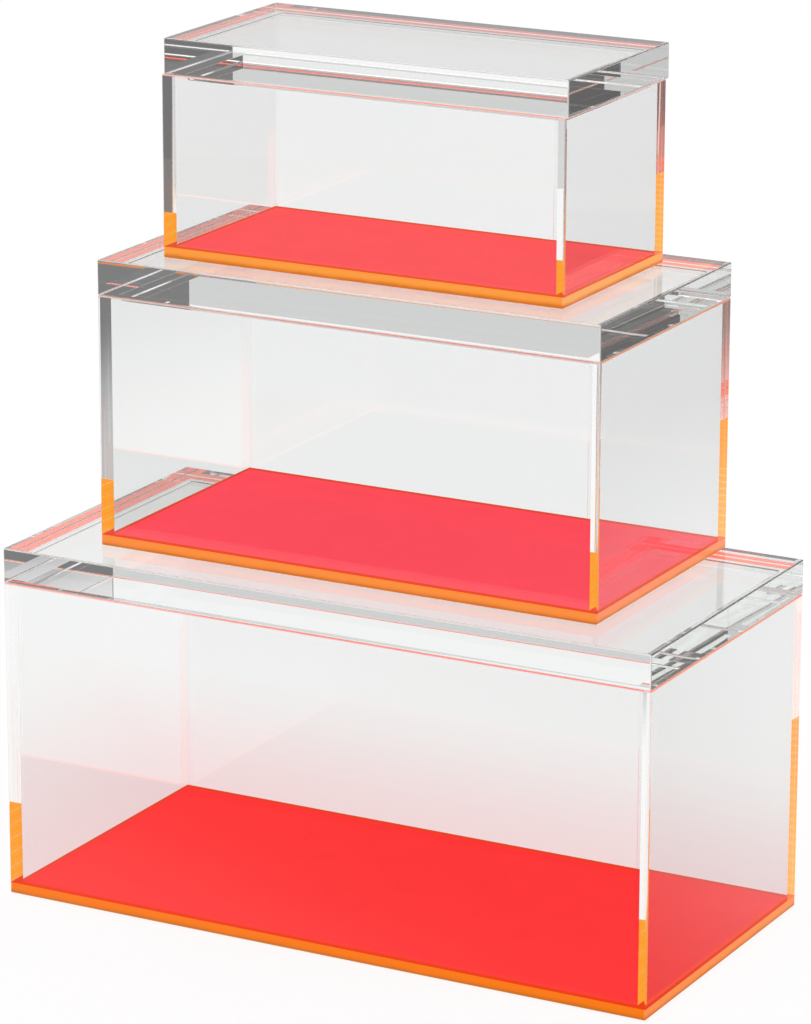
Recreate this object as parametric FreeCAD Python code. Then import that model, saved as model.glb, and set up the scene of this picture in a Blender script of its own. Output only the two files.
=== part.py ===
import FreeCAD
import Part
import os

# Set of three storage boxes, each of five cemented acrylic panels and a loose thick lid
# with a locating plate cemented under it.
# The boxes stand on each other's lids: small on medium on large. Millimetres, +Z up,
# +X along the long front, the front faces -Y, origin under the middle of the large box.

# Sheet that the panels and lids are cut from
wall_sheet = 4.0
floor_sheet = 4.0
lid_sheet = 12.7
plate_sheet = 2.4

# Finish and fits, the same on every box
edge_round = 0.5  # polished radius along the outside edges
cement_film = 0.05  # clear cement between two panels of one box
resting_gap = 0.1  # air under a loose piece, from dust and faces that aren't quite flat
lid_play = 2.4  # room between a lid's locating plate and the walls, on each side

# Outside of each box, with the height from its foot to its rim, under the lid
large_width = 254.0
large_depth = 124.0
large_height = 117.0
medium_width = 195.5
medium_depth = 103.5
medium_height = 91.0
small_width = 156.0
small_depth = 77.5
small_height = 65.0

# Where a box stands on the lid below: how far behind that box's front, and how far to the right
medium_setback = 20.0
medium_shift = -0.7
small_setback = 13.7
small_shift = -0.9

# How far to the right of its own box each loose lid lies
large_lid_shift = 0.0
medium_lid_shift = 0.0
small_lid_shift = 1.0

# Two places closer than this are the same place
same_place = 1e-6


def panel(width, depth, height, middle, front, foot):
    """Flat panel from its middle along X, its front along Y and its foot along Z."""
    return Part.makeBox(width, depth, height, FreeCAD.Vector(middle - width / 2, front, foot))


def lies_in(low, high, face):
    """True where an edge that runs from low to high on one axis lies in a face square to it."""
    return abs(low - face) < same_place and abs(high - face) < same_place


def polish(piece, block):
    """Rounds the edges of a piece that are outside edges of the block that it belongs to."""
    b = block.BoundBox
    outside_edges = []
    for edge in piece.Edges:
        e = edge.BoundBox
        faces_met = [
            lies_in(e.XMin, e.XMax, b.XMin) or lies_in(e.XMin, e.XMax, b.XMax),
            lies_in(e.YMin, e.YMax, b.YMin) or lies_in(e.YMin, e.YMax, b.YMax),
            lies_in(e.ZMin, e.ZMax, b.ZMin) or lies_in(e.ZMin, e.ZMax, b.ZMax),
        ]
        if sum(faces_met) > 1:
            outside_edges.append(edge)
    return piece.makeFillet(edge_round, outside_edges)


def floor_plate(box):
    """Floor over the whole footprint. The walls stand on it, so its edges show all round."""
    return panel(box["width"], box["depth"], floor_sheet, box["middle"], box["front"], box["foot"])


def wall_foot(box):
    """Level that the walls stand on."""
    return box["foot"] + floor_sheet + cement_film


def wall_height(box):
    """Height of the walls, from the floor to the rim."""
    return box["foot"] + box["height"] - wall_foot(box)


def end_wall(box, side):
    """Left wall for side -1, right wall for side 1. It runs the whole depth."""
    middle = box["middle"] + side * (box["width"] - wall_sheet) / 2
    return panel(wall_sheet, box["depth"], wall_height(box), middle, box["front"], wall_foot(box))


def long_wall(box, front):
    """Front or back wall. It stands between the two end walls."""
    width = box["width"] - 2 * (wall_sheet + cement_film)
    return panel(width, wall_sheet, wall_height(box), box["middle"], front, wall_foot(box))


def lid_foot(box):
    """Level of the underside of a lid, just above the rim."""
    return box["foot"] + box["height"] + resting_gap


def slab_lid(box):
    """Loose lid as large as the box, which lies on the rim of the four walls."""
    middle = box["middle"] + box["lid_shift"]
    return panel(box["width"], box["depth"], lid_sheet, middle, box["front"], lid_foot(box))


def locating_plate(box, thickness):
    """Plate under a lid. It hangs between the walls, so the lid can't slide off."""
    inset = wall_sheet + lid_play
    width = box["width"] - 2 * inset
    depth = box["depth"] - 2 * inset
    foot = lid_foot(box) - cement_film - plate_sheet
    return panel(width, depth, thickness, box["middle"] + box["lid_shift"], box["front"] + inset, foot)


def box_pieces(box):
    """The seven pieces of one box, by node name."""
    name = box["name"]
    body = panel(box["width"], box["depth"], box["height"], box["middle"], box["front"], box["foot"])
    back = box["front"] + box["depth"] - wall_sheet
    lid = slab_lid(box)
    plate_and_film = locating_plate(box, plate_sheet + cement_film)
    return {
        name + "_floor_plate": polish(floor_plate(box), body),
        name + "_front_wall": polish(long_wall(box, box["front"]), body),
        name + "_back_wall": polish(long_wall(box, back), body),
        name + "_left_wall": polish(end_wall(box, -1), body),
        name + "_right_wall": polish(end_wall(box, 1), body),
        name + "_lid": polish(lid, lid),
        name + "_lid_plate": polish(locating_plate(box, plate_sheet), plate_and_film),
    }


def standing_on(lower, setback, shift):
    """Middle, front and foot of a box that stands on the lid of the lower one."""
    return {
        "middle": lower["middle"] + shift,
        "front": lower["front"] + setback,
        "foot": lower["foot"] + lower["height"] + lid_sheet + 2 * resting_gap,
    }


large = {
    "name": "large",
    "width": large_width,
    "depth": large_depth,
    "height": large_height,
    "lid_shift": large_lid_shift,
    "middle": 0,
    "front": -large_depth / 2,
    "foot": 0,
}
medium = {
    "name": "medium",
    "width": medium_width,
    "depth": medium_depth,
    "height": medium_height,
    "lid_shift": medium_lid_shift,
    **standing_on(large, medium_setback, medium_shift),
}
small = {
    "name": "small",
    "width": small_width,
    "depth": small_depth,
    "height": small_height,
    "lid_shift": small_lid_shift,
    **standing_on(medium, small_setback, small_shift),
}

os.makedirs("parts", exist_ok=True)
for box in (large, medium, small):
    for node, piece in box_pieces(box).items():
        piece.exportStep("parts/" + node + ".step")
        print(node, "volume", round(piece.Volume), "mm3")
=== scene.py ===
import math

import bpy
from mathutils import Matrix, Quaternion, Vector


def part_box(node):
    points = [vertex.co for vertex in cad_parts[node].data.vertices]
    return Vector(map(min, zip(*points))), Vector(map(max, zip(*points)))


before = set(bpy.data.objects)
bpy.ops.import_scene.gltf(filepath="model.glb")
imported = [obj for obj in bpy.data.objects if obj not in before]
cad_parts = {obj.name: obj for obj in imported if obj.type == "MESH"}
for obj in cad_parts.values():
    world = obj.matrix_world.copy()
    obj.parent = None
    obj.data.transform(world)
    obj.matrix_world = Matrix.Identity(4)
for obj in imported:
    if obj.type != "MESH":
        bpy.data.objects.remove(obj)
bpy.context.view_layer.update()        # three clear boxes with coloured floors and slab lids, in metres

print("frame loaded with", len(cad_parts), "nodes")
bpy.ops.object.select_all(action="DESELECT")

halfCount = 0.5  # from one whole number halfway to the next


# One output socket of a node tree. Sums and products of sockets add Math nodes.
class Wire:
    def __init__(self, tree, socket=None):
        self.tree = tree
        self.socket = socket

    # any node: its type, its own settings, the values or links of its sockets, and the output wanted
    def node(self, kind, settings=None, values=None, output=0):
        made = self.tree.nodes.new("ShaderNode" + kind)
        for name, value in (settings or {}).items():
            setattr(made, name, value)
        for name, value in (values or {}).items():
            if isinstance(value, Wire):
                self.tree.links.new(value.socket, made.inputs[name])
            else:
                made.inputs[name].default_value = value
        return Wire(self.tree, made.outputs[output] if len(made.outputs) else None)

    # another output of the same node
    def out(self, name):
        return Wire(self.tree, self.socket.node.outputs[name])

    def maths(self, operation, first, second=0.0, third=0.0):
        return self.node("Math", {"operation": operation}, {0: first, 1: second, 2: third})

    def __add__(self, other):
        return self.maths("ADD", self, other)

    def __sub__(self, other):
        return self.maths("SUBTRACT", self, other)

    def __mul__(self, other):
        return self.maths("MULTIPLY", self, other)

    def __radd__(self, other):
        return self.maths("ADD", other, self)

    def __rsub__(self, other):
        return self.maths("SUBTRACT", other, self)

    def __rmul__(self, other):
        return self.maths("MULTIPLY", other, self)

    def least(self, other):
        return self.maths("MINIMUM", self, other)

    def most(self, other):
        return self.maths("MAXIMUM", self, other)

    def unsigned(self):
        return self.maths("ABSOLUTE", self)

    # 1 above the level, 0 below it
    def over(self, level):
        return self.maths("GREATER_THAN", self, level)

    # 1 below the level, 0 above it
    def under(self, level):
        return self.maths("LESS_THAN", self, level)

    # 1 within reach of the middle, 0 outside
    def near(self, middle, reach):
        return self.maths("COMPARE", self, middle, reach)

    # 1 where a count is more than the number
    def moreThan(self, number):
        return self.over(number + halfCount)

    # 1 where a count is the number
    def equals(self, number):
        return self.near(number, halfCount)

    # an even rise from 0 at low to 1 at high
    def share(self, low, high):
        return self.node("MapRange", values={"Value": self, "From Min": low, "From Max": high})

    # a soft step from 0 at start to 1 at end; start may be the larger
    def step(self, start, end):
        if start > end:
            return 1 - self.step(end, start)
        settings = {"interpolation_type": "SMOOTHSTEP"}
        return self.node("MapRange", settings, {"Value": self, "From Min": start, "From Max": end})

    # a blend of two colours by this socket
    def colours(self, first, second):
        return self.node("Mix", {"data_type": "RGBA"}, {0: self, 6: first, 7: second}, 2)

    # a blend of two shaders by this socket
    def shaders(self, first, second):
        return self.node("MixShader", values={0: self, 1: first, 2: second})

    # cloudy marks over the place that this socket holds
    def noise(self, scale, detail):
        return self.node("TexNoise", values={"Vector": self, "Scale": scale, "Detail": detail})

    # the length of a vector, or its distance from or product with another
    def measure(self, operation, other=(0, 0, 0)):
        return self.node("VectorMath", {"operation": operation}, {0: self, 1: other}, 1)


def newMaterial(name):
    material = bpy.data.materials.new(name)
    material.use_nodes = True
    material.node_tree.nodes.clear()
    return material, Wire(material.node_tree)


def place(wire):
    spot = wire.node("TexCoord", output="Object")
    x = wire.node("SeparateXYZ", values={0: spot})
    return spot, x, x.out("Y"), x.out("Z")


# light of its own, white unless it has a colour
def glowing(wire, strength=1.0, colour=(1, 1, 1, 1)):
    return wire.node("Emission", values={"Color": colour, "Strength": strength})


# rays that have met no mirror and no matt surface: straight from the camera, or on through clear sheet
def straightOn(path):
    seen = path.out("Is Camera Ray").most(path.out("Is Transmission Ray"))
    return seen * (1 - path.out("Glossy Depth").least(1)) * (1 - path.out("Diffuse Depth").least(1))


def dress(nodeName, material):
    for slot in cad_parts[nodeName].material_slots:
        slot.material = material


boxNames = ("large", "medium", "small")
wallSides = ("front", "back", "left", "right")

# Clear cast sheet with faint handling marks. The cement in its seams lets light straight on.
clearSheet = {
    # per box: the clear tint, and the colour of the painted glow on the rim, seen by the camera only
    "large": {"tint": (0.990, 0.995, 0.992, 1), "paintedRimGlow": (0.44, 0.13, 0.15, 1)},
    "medium": {"tint": (0.990, 0.995, 0.992, 1), "paintedRimGlow": (0.20, 0.10, 0.11, 1)},
    "small": {"tint": (0.998, 1.000, 0.997, 1), "paintedRimGlow": (0.40, 0.16, 0.15, 1)},
    "lidTint": (0.990, 0.995, 0.992, 1),
    "deepTint": (0.984, 0.992, 0.988, 1),
    "index": 1.491,
    "shadowTint": (0.985, 0.988, 0.986, 1),
    "seamReach": 0.00004,  # a little less than the cement is thick
    "markScale": 34.0,
    "markDetail": 5.0,
    "marksShown": (0.52, 0.78),
    "markRoughness": 0.012,
    "edgeReach": 0.00049,  # just inside the polished radius
    "edgeRoughness": 0.28,
    # painted shade: the darker colour of the rim where the lid sits; then the strength of the glow
    # painted on the rims and back corners
    "rimPaintedShade": (0.34, 0.28, 0.28, 1),
    "wallGlow": 1.0,
    "waveScale": 16.0,
    "waveDetail": 0.0,
    "waveHeight": 0.00006,
    # painted glow on the walls' two back corners: how far it reaches, its levels and its colours
    "cornerReach": 0.7,  # of the sheet, in front of the back wall
    "cornerLevels": (0.1, 0.55, 0.9),  # of the wall's height
    "cornerLow": (0.45, 0.14, 0.060, 1),
    "cornerMiddle": (0.38, 0.06, 0.020, 1),
    "cornerHigh": (0.14, 0.02, 0.008, 1),
    "unlit": (0, 0, 0, 1),
}


def clearMaterial(name, block, seam, tint, glow=None, paintedRimGlow=None):
    material, wire = newMaterial(name)
    spot, x, y, z = place(wire)
    path = wire.node("LightPath")

    # rounded edges, where two faces of the block meet, are less polished than the faces
    facesMet = 0.0
    for along, low, high in zip((x, y, z), *block):
        half = (high - low) / 2 - clearSheet["edgeReach"]
        facesMet = facesMet + 1 - along.near((low + high) / 2, half)
    rounded = facesMet.moreThan(1)
    atRim = rounded * z.over(block[1].z - clearSheet["edgeReach"])
    passes = path.out("Is Shadow Ray").most(path.out("Is Diffuse Ray")).most(seam(x, y, z))
    marks = spot.noise(clearSheet["markScale"], clearSheet["markDetail"])
    waves = spot.noise(clearSheet["waveScale"], clearSheet["waveDetail"])
    marked = marks.step(*clearSheet["marksShown"])
    tone = waves.colours(tint, clearSheet["deepTint"])

    # painted glow and painted shade: the rim and the back corners of the walls glow, to camera rays
    # only, as if they held some of the floor's light, and the rim is darker, as in the shade under the
    # lid
    paintedGlow = {}
    if glow:
        tone = atRim.colours(tone, clearSheet["rimPaintedShade"])
        byCamera = atRim * path.out("Is Camera Ray")
        paintedGlow["Emission Color"] = byCamera.colours(glow(x, y, z, path), paintedRimGlow)
        paintedGlow["Emission Strength"] = clearSheet["wallGlow"]
    sheet = wire.node("BsdfPrincipled", values={
        "Base Color": tone,
        "Roughness": clearSheet["markRoughness"] * marked + clearSheet["edgeRoughness"] * rounded,
        "IOR": clearSheet["index"],
        "Transmission Weight": 1.0,
        "Normal": wire.node("Bump", values={"Distance": clearSheet["waveHeight"], "Height": waves}),
        **paintedGlow,
    })
    through = wire.node("BsdfTransparent", values={"Color": clearSheet["shadowTint"]})
    wire.node("OutputMaterial", values={"Surface": passes.shaders(sheet, through)})
    return material


def dressClear(boxName):
    floorLow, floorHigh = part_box(boxName + "_floor_plate")
    frontLow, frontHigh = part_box(boxName + "_front_wall")
    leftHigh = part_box(boxName + "_left_wall")[1]
    seamReach = clearSheet["seamReach"]
    footSeam = (floorHigh.z + frontLow.z) / 2
    middle = (floorLow + floorHigh) / 2
    cornerSeam = middle.x - (leftHigh.x + frontLow.x) / 2
    innerDepth = middle.y - frontHigh.y

    # the seams at the foot of the walls, and the upright ones at the four corners
    def cemented(x, y, z):
        across = (x - middle.x).unsigned()
        deep = (y - middle.y).unsigned()
        corner = across.near(cornerSeam, seamReach) * deep.over(innerDepth)
        return z.near(footSeam, seamReach).most(corner)

    # painted glow on the two back corners, to camera rays only, standing in for the floor's light run up
    # inside them, fading to the top
    wallSheet = leftHigh.x - floorLow.x
    cornerStart = middle.y + innerDepth - clearSheet["cornerReach"] * wallSheet

    def paintedCornerGlow(x, y, z, path):
        across = (x - middle.x).unsigned()
        column = across.over(cornerSeam) * y.over(cornerStart)
        level = z.share(frontLow.z, frontHigh.z)
        low, halfway, top = clearSheet["cornerLevels"]
        tone = level.step(low, halfway).colours(clearSheet["cornerLow"], clearSheet["cornerMiddle"])
        tone = level.step(halfway, top).colours(tone, clearSheet["cornerHigh"])
        return (column * path.out("Is Camera Ray")).colours(clearSheet["unlit"], tone)

    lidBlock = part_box(boxName + "_lid")
    plateLow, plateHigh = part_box(boxName + "_lid_plate")
    lidSeam = (plateHigh.z + lidBlock[0].z) / 2
    plateMiddle = (plateLow + plateHigh) / 2
    plateHalf = (plateHigh - plateLow) / 2

    # the seam between a lid and its locating plate
    def underLid(x, y, z):
        inside = x.near(plateMiddle.x, plateHalf.x) * y.near(plateMiddle.y, plateHalf.y)
        return z.near(lidSeam, seamReach) * inside

    body = (floorLow, Vector((floorHigh.x, floorHigh.y, frontHigh.z)))
    own = clearSheet[boxName]
    wallMaterial = clearMaterial(
        boxName + "ClearWall", body, cemented, own["tint"], paintedCornerGlow, own["paintedRimGlow"])
    for side in wallSides:
        dress(boxName + "_" + side + "_wall", wallMaterial)
    lidMaterial = clearMaterial(boxName + "ClearLid", lidBlock, underLid, clearSheet["lidTint"])
    dress(boxName + "_lid", lidMaterial)
    dress(boxName + "_lid_plate", lidMaterial)


for boxName in boxNames:
    dressClear(boxName)
print("clear sheet on the walls and lids")

# Fluorescent floor sheet. Its own light leaves by the edges. Where it runs up inside the walls, it is
# painted glow: on the floor under the walls, and on the walls' rims and back corners.
glowSheet = {
    "large": {
        "face": (1.0, 0.036, 0.036, 1),
        "edge": (1.0, 0.200, 0.006, 1),
        "endEdge": (1.0, 0.285, 0.070, 1),
        "border": (0.90, 0.050, 0.008, 1),
        # painted reflection of this floor in the clear walls
        "mirrored": (0.45, 0.12, 0.12, 1),
    },
    "medium": {
        "face": (1.0, 0.075, 0.109, 1),
        "edge": (1.0, 0.275, 0.045, 1),
        "endEdge": (1.0, 0.270, 0.105, 1),
        "border": (0.84, 0.070, 0.025, 1),
        # painted reflection of this floor in the clear walls
        "mirrored": (0.12, 0.12, 0.12, 1),
    },
    "small": {
        "face": (1.0, 0.099, 0.108, 1),
        "edge": (1.0, 0.330, 0.045, 1),
        "endEdge": (1.0, 0.410, 0.125, 1),
        "border": (0.86, 0.100, 0.030, 1),
        # painted reflection of this floor in the clear walls
        "mirrored": (0.12, 0.12, 0.12, 1),
    },
    # painted shade: the darker tone of the floor's edges at their foot
    "paintedFootShade": (0.62, 0.165, 0.012, 1),
    # painted glow that the floor shows under the walls, to rays led inside them
    "piped": (1.0, 0.36, 0.030, 1),
    "steep": (1.0, 0.18, 0.11, 1),
    "faceGlow": 0.80,
    "edgeGlow": 0.85,
    # strength of that painted glow under the walls
    "pipedGlow": 1.05,
    "steepGlow": 1.60,
    "matt": (0.40, 0.40, 0.40, 1),  # how much of its colour the sheet also has by other light
    "faceGloss": 0.0,
    "faceRoughness": 0.26,
    "faceWear": 0.12,
    "wearShown": (0.40, 0.70),
    "seeThrough": 0.12,
    "grainScale": 60.0,
    "grainDetail": 6.0,
    "grainShown": (0.35, 0.65),
    "grainDepth": 0.97,
    "edgeReach": 0.0006,  # just past the polished radius
    "edgeRise": (0.05, 0.55),  # of the sheet, from the low tone to the edge's own
    "edgeRoughness": 0.06,
    "edgeScratch": 0.10,
    "scratchShown": (0.45, 0.70),
    "streakScale": 90.0,
    "streakDetail": 3.0,
    "streakDepth": 0.25,
    "streakMiddle": 0.5,
    "twoSheets": 4,  # faces that a ray passes on its way through two sheets
}


def floorMaterial(boxName):
    low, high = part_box(boxName + "_floor_plate")
    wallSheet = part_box(boxName + "_left_wall")[1].x - low.x
    colour = glowSheet[boxName]
    material, wire = newMaterial(boxName + "GlowFloor")
    spot, x, y, z = place(wire)
    path = wire.node("LightPath")
    passed = path.out("Transmission Depth")
    mirrors = path.out("Glossy Depth")
    fromEnd = (x - low.x).least(high.x - x)
    inset = fromEnd.least(y - low.y).least(high.y - y)
    side = inset.under(glowSheet["edgeReach"])
    underWall = inset.under(wallSheet) * z.near(high.z, clearSheet["seamReach"])
    underside = z.near(low.z, clearSheet["seamReach"]) * (1 - side)
    grain = spot.noise(glowSheet["grainScale"], glowSheet["grainDetail"])
    streaks = spot.noise(glowSheet["streakScale"], glowSheet["streakDetail"])

    def lit(tone, glow, values):
        blend = {"data_type": "RGBA", "blend_type": "MULTIPLY"}
        dull = wire.node("Mix", blend, {0: 1.0, 6: tone, 7: glowSheet["matt"]}, 2)
        return wire.node("BsdfPrincipled", values={
            "Base Color": dull,
            "IOR": clearSheet["index"],
            "Emission Color": tone,
            "Emission Strength": glow,
            **values,
        })

    # the face, which lets a little light through
    deeper = tuple(c * glowSheet["grainDepth"] for c in colour["face"][:3]) + (1,)
    faceTone = grain.step(*glowSheet["grainShown"]).colours(deeper, colour["face"])
    worn = grain.step(*glowSheet["wearShown"])
    face = lit(faceTone, glowSheet["faceGlow"], {
        "Roughness": glowSheet["faceRoughness"] + glowSheet["faceWear"] * worn,
        "Specular IOR Level": glowSheet["faceGloss"],
    })
    tinted = wire.node("BsdfTransparent", values={"Color": colour["face"]})
    face = wire.node("MixShader", values={0: glowSheet["seeThrough"], 1: face, 2: tinted})

    # the edges: painted shade darkens them at the foot, and they are paler at the two ends
    atEnd = fromEnd.under(glowSheet["edgeReach"])
    streaked = glowSheet["streakDepth"] * (streaks - glowSheet["streakMiddle"])
    upper = (z.share(low.z, high.z) + streaked).step(*glowSheet["edgeRise"])
    edgeTone = upper.colours(glowSheet["paintedFootShade"], atEnd.colours(colour["edge"], colour["endEdge"]))
    scratched = streaks.step(*glowSheet["scratchShown"])
    edge = lit(edgeTone, glowSheet["edgeGlow"], {
        "Roughness": glowSheet["edgeRoughness"] + glowSheet["edgeScratch"] * scratched,
    })
    look = side.shaders(face, edge)

    # painted glow under the walls: the floor glows orange to rays that have run along inside a wall, and
    # pink where they came in by the rim
    piped = glowing(wire, glowSheet["pipedGlow"], glowSheet["piped"])
    steep = glowing(wire, glowSheet["steepGlow"], glowSheet["steep"])
    border = glowing(wire, colour=colour["border"])
    run = passed.moreThan(1).shaders(piped, steep)
    look = underWall.shaders(look, mirrors.least(1).shaders(border, run))

    # painted reflection: rays mirrored inside the clear walls find the floor as a dim fixed colour, so
    # the walls mirror it only faintly
    byInside = path.out("Is Reflection Ray") * passed.moreThan(1)
    inWall = mirrors.equals(1) * byInside.most(passed.equals(glowSheet["twoSheets"]))
    look = inWall.shaders(look, glowing(wire, colour=colour["mirrored"]))
    look = underside.shaders(look, wire.node("BsdfTransparent"))
    wire.node("OutputMaterial", values={"Surface": look})
    return material


for boxName in boxNames:
    dress(boxName + "_floor_plate", floorMaterial(boxName))
print("fluorescent sheet on the floors")

# Stage: a pale table, white straight on. Painted reflections: only a mirrored ray finds it bright on
# round patches
# and dim beyond them: one patch for rays mirrored once, two for more often, one for rays led far along
# inside a sheet.
stageTable = {
    "reach": 1.2,
    "sides": 96,
    "drop": 0.0002,
    "colour": (0.16, 0.16, 0.16, 1),
    "lift": 0.85,
    "fade": (0.25, 0.45),
    # painted pink light and painted shadow on the table beside the large floor
    "paintedSpill": (1.02, 0.80, 0.81, 1),
    "spillReach": 0.14,
    # painted reflections: where the bright round patches lie, and how dim the rest of the table is, for
    # mirrored rays only
    "onceMiddle": (-0.30, 0.52, 0),
    "onceFade": (0.45, 0.75),
    "farMiddle": (-0.25, 0.75, 0),
    "farFade": (0.40, 0.57),
    "nearMiddle": (-0.10, -0.10, 0),
    "nearFade": (0.45, 0.62),
    "guidedMiddle": (0.00, 0.03, 0),
    "guidedFade": (0.45, 0.66),
    "guidedTurns": 20,
    "dim": 0.22,
    "dimOnce": 0.10,
}


def tableMaterial():
    material, wire = newMaterial("paleTable")
    spot, x, y = place(wire)[:3]
    path = wire.node("LightPath")
    straight = straightOn(path)
    mirrors = path.out("Glossy Depth")
    mirrored = mirrors.least(1)

    # 0 on a painted bright round patch of the table, 1 away from it, for painted reflections
    def outside(patch):
        return spot.measure("DISTANCE", stageTable[patch + "Middle"]).step(*stageTable[patch + "Fade"])

    twice = mirrors.moreThan(1)
    guided = mirrors.over(stageTable["guidedTurns"])
    more = (1 - guided) * outside("far") * outside("near") + guided * outside("guided")
    dark = (1 - twice) * outside("once") + twice * more
    matt = wire.node("BsdfDiffuse", values={"Color": stageTable["colour"]})
    lifted = wire.node("AddShader", values={0: matt, 1: glowing(wire, stageTable["lift"])})
    look = straight.most(mirrored).shaders(matt, lifted)
    faded = straight * spot.measure("LENGTH").step(*stageTable["fade"])
    look = faded.shaders(look, glowing(wire))

    # painted pink light and painted shadow: the table beside the large floor, seen through the clear
    # walls, is pink as if lit by the floor, and darker in green and blue as in the box's shadow
    footLow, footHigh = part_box("large_floor_plate")
    beside = (footLow.x - x).most(x - footHigh.x).most(footLow.y - y).most(y - footHigh.y)
    throughWalls = path.out("Transmission Depth").moreThan(1)
    paintedSpilt = straight * throughWalls * beside.step(stageTable["spillReach"], 0.0)
    look = paintedSpilt.shaders(look, glowing(wire, colour=stageTable["paintedSpill"]))
    # painted reflection: the dim light that mirrored rays find on the table away from the patches
    dim = twice.shaders(glowing(wire, stageTable["dimOnce"]), glowing(wire, stageTable["dim"]))
    look = (mirrored * dark).shaders(look, dim)
    wire.node("OutputMaterial", values={"Surface": look})
    return material


bpy.ops.mesh.primitive_circle_add(
    vertices=stageTable["sides"], radius=stageTable["reach"], fill_type="NGON",
    location=(0, 0, -stageTable["drop"]))
table = bpy.context.object
table.name = "table"
table.data.materials.append(tableMaterial())

# World: white straight on, and for mirrors and matt surfaces a dim room with a bright back and ceiling
room = {
    "side": 0.23,
    "front": 0.15,
    "frontTurn": (-0.10, -0.50),
    "below": 0.8,
    "belowTurn": (0.00, -0.06),
    "back": 0.72,
    "backWay": (-0.474, 0.880, 0),
    "backTurn": (0.60, 0.85),
    "ceiling": 1.2,
    "ceilingTurn": (0.50, 0.80),
    "colour": (1, 1, 1, 1),
}


def roomLight(wire):
    way = wire.node("TexCoord", output="Generated")
    across = wire.node("SeparateXYZ", values={0: way})
    height = across.out("Z")
    inFront = across.out("Y").step(*room["frontTurn"])
    light = room["side"] + (room["front"] - room["side"]) * inFront
    light = light * (1 - (1 - room["below"]) * height.step(*room["belowTurn"]))
    behind = way.measure("DOT_PRODUCT", room["backWay"]).step(*room["backTurn"])
    light = light * (1 - behind) + room["back"] * behind
    light = light + room["ceiling"] * height.step(*room["ceilingTurn"])
    straight = straightOn(wire.node("LightPath"))
    return light * (1 - straight) + straight


world = bpy.data.worlds.new("studio")
bpy.context.scene.world = world
world.use_nodes = True
world.node_tree.nodes.clear()
wire = Wire(world.node_tree)
ground = wire.node("Background", values={"Color": room["colour"], "Strength": roomLight(wire)})
wire.node("OutputWorld", values={"Surface": ground})
print("stage and world set")

# Camera at the photograph's viewing angle
view = {
    "azimuth": 28.32,
    "elevation": 16.34,
    "roll": 0.13,
    "distance": 1.7033,
    "target": (-0.0010, 0.0043, 0.1439),
    "lens": 169.8,
    "sensor": 36.0,
    "clipEnd": 50.0,
}
azimuth, elevation = math.radians(view["azimuth"]), math.radians(view["elevation"])
towards = Vector((
    math.sin(azimuth) * math.cos(elevation),
    -math.cos(azimuth) * math.cos(elevation),
    math.sin(elevation),
))
cameraData = bpy.data.cameras.new("camera")
cameraData.lens = view["lens"]
cameraData.sensor_width = view["sensor"]
cameraData.clip_end = view["clipEnd"]
camera = bpy.data.objects.new("camera", cameraData)
bpy.context.scene.collection.objects.link(camera)
camera.location = Vector(view["target"]) + towards * view["distance"]
camera.rotation_mode = "QUATERNION"
roll = Quaternion((0, 0, 1), math.radians(view["roll"]))
camera.rotation_quaternion = (-towards).to_track_quat("-Z", "Y") @ roll
bpy.context.scene.camera = camera
print("camera set")

# light turns many times inside the sheets before it leaves by an end
scene = bpy.context.scene
scene.view_settings.view_transform = "Standard"
scene.cycles.max_bounces = 200
scene.cycles.transmission_bounces = 100
scene.cycles.glossy_bounces = 160
scene.cycles.transparent_max_bounces = 100
scene.cycles.use_denoising = True
